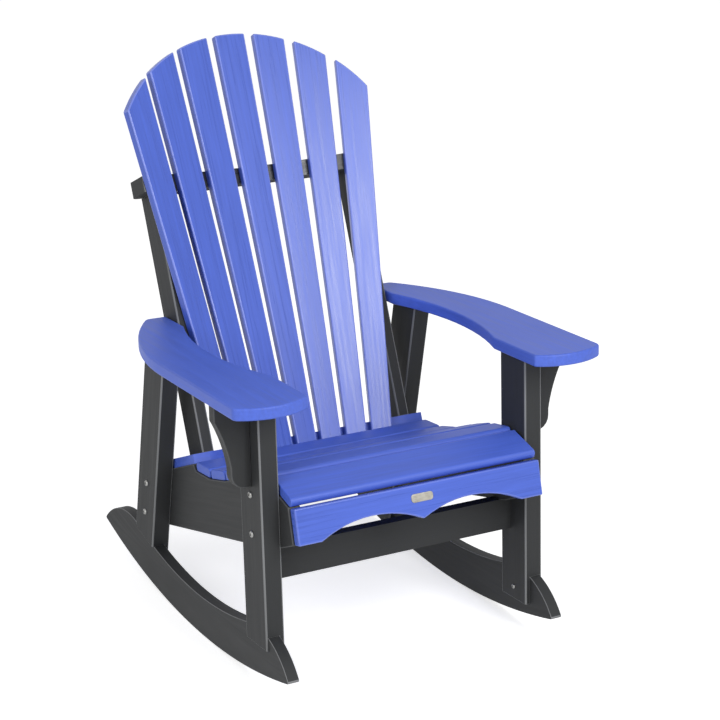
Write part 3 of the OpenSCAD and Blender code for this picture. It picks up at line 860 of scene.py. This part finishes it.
def add_turned(whole, part, matrix):
    """Adds one turned form to the piece that gathers them."""
    part.transform(matrix)
    mesh = bpy.data.meshes.new("turned")
    part.to_mesh(mesh)
    part.free()
    whole.from_mesh(mesh)
    bpy.data.meshes.remove(mesh)


def head_first(points, axis):
    """The axis turned so that it runs from a bolt's head to its end."""
    middle = middle_of(points)
    widest = max(points, key=lambda p: off_axis(p, middle, axis))
    steps = [(p - middle).dot(axis) for p in points]
    seat = (widest - middle).dot(axis)
    return axis if seat - min(steps) < max(steps) - seat else -axis


def head_height(points, axis, reach):
    """Height of a head: how far its wide part reaches from its outer end."""
    middle = middle_of(points)
    wide = [p.dot(axis) for p in points if off_axis(p, middle, axis) > reach * HEAD_WIDE]
    return max(wide) - min(p.dot(axis) for p in points)


def fit_bolts(node, axis):
    """Domed bolts or screws in place of the plain ones of a node."""
    sizes = bpy.context.scene.chair_fastenings
    whole = bmesh.new()
    for points in solids_of(node):
        way = head_first(points, axis)
        foot, length, head, _ = turned_sizes(points, way)
        shank = max(off_axis(p, foot, way) for p in points if (p - foot).dot(way) > length - MERGE)
        rise = head_height(points, way, head)
        bolt = domed_bolt(shank, length - rise, head, rise, sizes)
        add_turned(whole, bolt, along_matrix(way, foot + way * rise))
    show(whole, node + "_turned", steel(), [node])


class CHAIR_OT_bolts(Operator):
    """Fit the domed bolts through the legs, their nuts and the bolts in the rockers"""

    bl_idname = "chair.bolts"
    bl_label = "Bolts and nuts"

    def execute(self, context):
        fit_bolts("leg_bolts", ACROSS)
        fit_bolts("rocker_bolts", ACROSS)
        whole = bmesh.new()
        for points in solids_of("leg_bolt_nuts"):
            foot, height, corner, bore = turned_sizes(points, ACROSS)
            nut = hex_nut(bore, corner, height, context.scene.chair_fastenings.chamfer)
            add_turned(whole, nut, along_matrix(ACROSS, foot))
        show(whole, "leg_bolt_nuts_turned", steel(), ["leg_bolt_nuts"])
        return {"FINISHED"}


class CHAIR_OT_screws(Operator):
    """Fit the screws of the back frame and the arms"""

    bl_idname = "chair.screws"
    bl_label = "Screws"

    def execute(self, context):
        upright = merged_copy("back_upright_left")
        along = board_axes(upright)[0].copy()
        upright.free()
        fit_bolts("upright_screws", along)
        fit_bolts("arm_screws", ACROSS)
        return {"FINISHED"}


def apron_front(share):
    """The middle of the apron's front at a share of its height, with the directions up and out of it."""
    apron = merged_copy("front_apron")
    front = max((f for f in apron.faces if f.normal.y < 0), key=lambda f: f.calc_area())
    out = front.normal.copy()
    up = (UP - out * out.z).normalized()
    heights = [v.co.dot(up) for v in front.verts]
    low, high = min(heights), max(heights)
    corner = front.verts[0].co
    place = corner + up * (low + (high - low) * share - corner.dot(up))
    place.x = 0.0
    apron.free()
    return place, up, out


class CHAIR_OT_plate(Operator):
    """Fix the bare plate to the middle of the apron"""

    bl_idname = "chair.plate"
    bl_label = "Bare plate"

    def execute(self, context):
        sizes = context.scene.chair_plate
        bm = bmesh.new()
        bmesh.ops.create_grid(bm, x_segments=1, y_segments=1, size=0.5)
        bmesh.ops.scale(bm, vec=(sizes.width, sizes.height, 1), verts=bm.verts)
        bevel(bm, bm.verts[:], sizes.corner, PLATE_CORNER_STEPS, affect="VERTICES")
        made = bmesh.ops.extrude_face_region(bm, geom=bm.faces[:])
        lifted = [g for g in made["geom"] if isinstance(g, bmesh.types.BMVert)]
        bmesh.ops.translate(bm, vec=(0, 0, sizes.thickness), verts=lifted)
        bmesh.ops.recalc_face_normals(bm, faces=bm.faces)
        rim = [e for e in bm.edges if all(v.co.z > sizes.thickness / 2 for v in e.verts)]
        bevel(bm, rim, sizes.thickness * PLATE_RIM, PLATE_RIM_STEPS)
        place, up, out = apron_front(sizes.place)
        turn = Matrix((ACROSS, up, out)).transposed().to_4x4()
        bm.transform(Matrix.Translation(place) @ turn)
        show(bm, "apron_plate", pewter(), [])
        return {"FINISHED"}


# Stage

# Places and sizes in metres
LAMP_TARGET = (0.0, 0.0, 0.5)
KEY_PLACE, KEY_SIZE = (0.45, -2.9, 2.2), (1.15, 1.35)
SIDE_PLACE, SIDE_SIZE = (-3.0, -1.7, 2.0), (2.0, 2.0)
FLOOR_REACH = 12.0

FLOOR_PALE = (0.8, 0.8, 0.8, 1)  # the floor's colour where it throws light back on the chair
SENSOR_WIDTH = 36.0  # millimetres


def lamp(name, place, size, power):
    """A soft lamp that points at the chair."""
    data = bpy.data.lights.new(name, "AREA")
    data.shape, data.energy = "RECTANGLE", power
    data.size, data.size_y = size
    light = bpy.data.objects.new(name, data)
    turn = (Vector(LAMP_TARGET) - Vector(place)).to_track_quat("-Z", "Y").to_matrix().to_4x4()
    light.matrix_world = Matrix.Translation(place) @ turn
    bpy.context.scene.collection.objects.link(light)


def seen_directly(tree):
    """1 for what the camera sees itself, in a mirror or through glass, and 0 for light on the chair."""
    rays = add(tree, "ShaderNodeLightPath")
    value = rays.outputs["Is Camera Ray"]
    for kind in ("Is Glossy Ray", "Is Transmission Ray"):
        both = add(tree, "ShaderNodeMath", operation="MAXIMUM")
        tree.links.new(value, both.inputs[0])
        tree.links.new(rays.outputs[kind], both.inputs[1])
        value = both.outputs["Value"]
    return value


def white_floor(stage):
    """Pale floor that is white where it is lit and keeps the chair's shadow."""
    material, tree = new_tree("pale_floor")
    tone = stage.floor_tone
    diffuse = add(tree, "ShaderNodeBsdfDiffuse")
    diffuse.inputs["Color"].default_value = (tone, tone, tone, 1)
    glow = add(tree, "ShaderNodeEmission")
    glow.inputs["Color"].default_value = WHITE
    glow.inputs["Strength"].default_value = stage.floor_glow
    both = add(tree, "ShaderNodeAddShader")
    plain = add(tree, "ShaderNodeBsdfDiffuse")
    plain.inputs["Color"].default_value = FLOOR_PALE
    pick = add(tree, "ShaderNodeMixShader")
    output = add(tree, "ShaderNodeOutputMaterial")
    tree.links.new(diffuse.outputs["BSDF"], both.inputs[0])
    tree.links.new(glow.outputs["Emission"], both.inputs[1])
    tree.links.new(seen_directly(tree), pick.inputs["Fac"])
    tree.links.new(plain.outputs["BSDF"], pick.inputs[1])
    tree.links.new(both.outputs["Shader"], pick.inputs[2])
    tree.links.new(pick.outputs["Shader"], output.inputs["Surface"])
    return material


def white_surround(stage):
    """White behind the chair, and a plain even light on it."""
    world = bpy.data.worlds.new("white_surround")
    world.use_nodes = True
    tree = world.node_tree
    tree.nodes.clear()
    light = add(tree, "ShaderNodeBackground")
    light.inputs["Color"].default_value = WHITE
    light.inputs["Strength"].default_value = stage.sky
    white = add(tree, "ShaderNodeBackground")
    white.inputs["Color"].default_value = WHITE
    pick = add(tree, "ShaderNodeMixShader")
    output = add(tree, "ShaderNodeOutputWorld")
    tree.links.new(seen_directly(tree), pick.inputs["Fac"])
    tree.links.new(light.outputs["Background"], pick.inputs[1])
    tree.links.new(white.outputs["Background"], pick.inputs[2])
    tree.links.new(pick.outputs["Shader"], output.inputs["Surface"])
    bpy.context.scene.world = world


class CHAIR_OT_stage(Operator):
    """Lay the floor, hang the lamps and set the camera"""

    bl_idname = "chair.stage"
    bl_label = "Stage"

    def execute(self, context):
        scene, stage = context.scene, context.scene.chair_stage
        bm = bmesh.new()
        bmesh.ops.create_grid(bm, x_segments=1, y_segments=1, size=FLOOR_REACH)
        mesh = bpy.data.meshes.new("studio_floor")
        bm.to_mesh(mesh)
        bm.free()
        mesh.materials.append(white_floor(stage))
        floor = bpy.data.objects.new("studio_floor", mesh)
        scene.collection.objects.link(floor)
        white_surround(stage)
        lamp("key_lamp", KEY_PLACE, KEY_SIZE, stage.key)
        lamp("side_lamp", SIDE_PLACE, SIDE_SIZE, stage.fill)
        data = bpy.data.cameras.new("photo_camera")
        data.sensor_width, data.lens = SENSOR_WIDTH, stage.lens
        camera = bpy.data.objects.new("photo_camera", data)
        right, up = Vector(stage.right), Vector(stage.up)
        turn = Matrix((right, up, right.cross(up))).transposed().to_4x4()
        camera.matrix_world = Matrix.Translation(stage.camera) @ turn
        scene.collection.objects.link(camera)
        scene.camera = camera
        scene.view_settings.view_transform = "Standard"
        return {"FINISHED"}


OPERATORS = (
    CHAIR_OT_rockers, CHAIR_OT_legs, CHAIR_OT_seat_frame, CHAIR_OT_seat_slats, CHAIR_OT_back_frame,
    CHAIR_OT_back_slats, CHAIR_OT_arms, CHAIR_OT_arm_brackets, CHAIR_OT_bolts, CHAIR_OT_screws,
    CHAIR_OT_plate, CHAIR_OT_stage)
SETTINGS = {
    "chair_edges": BoardEdges, "chair_finish": LumberFinish, "chair_fastenings": FasteningSizes,
    "chair_plate": PlateSizes, "chair_stage": StageSettings}


class CHAIR_PT_panel(Panel):
    """The chair's pieces and their sizes"""

    bl_idname = "CHAIR_PT_panel"
    bl_label = "Rocking chair"
    bl_space_type = "VIEW_3D"
    bl_region_type = "UI"
    bl_category = "Chair"

    def draw(self, context):
        for name, group in SETTINGS.items():
            box = self.layout.box()
            box.label(text=group.__doc__)
            for key in group.__annotations__:
                box.prop(getattr(context.scene, name), key)
        for operator in OPERATORS:
            self.layout.operator(operator.bl_idname)


CLASSES = (*SETTINGS.values(), *OPERATORS, CHAIR_PT_panel)


def register():
    for item in CLASSES:
        bpy.utils.register_class(item)
    for name, group in SETTINGS.items():
        setattr(bpy.types.Scene, name, PointerProperty(type=group))


def unregister():
    for name in SETTINGS:
        delattr(bpy.types.Scene, name)
    for item in reversed(CLASSES):
        bpy.utils.unregister_class(item)


def main():
    """Makes the chair and its stage and writes the boxes of the CAD model and the dressed chair."""
    register()
    for operator in OPERATORS:
        group, call = operator.bl_idname.split(".")
        getattr(getattr(bpy.ops, group), call)()
    bpy.context.view_layer.update()


if __name__ == "__main__":
    main()
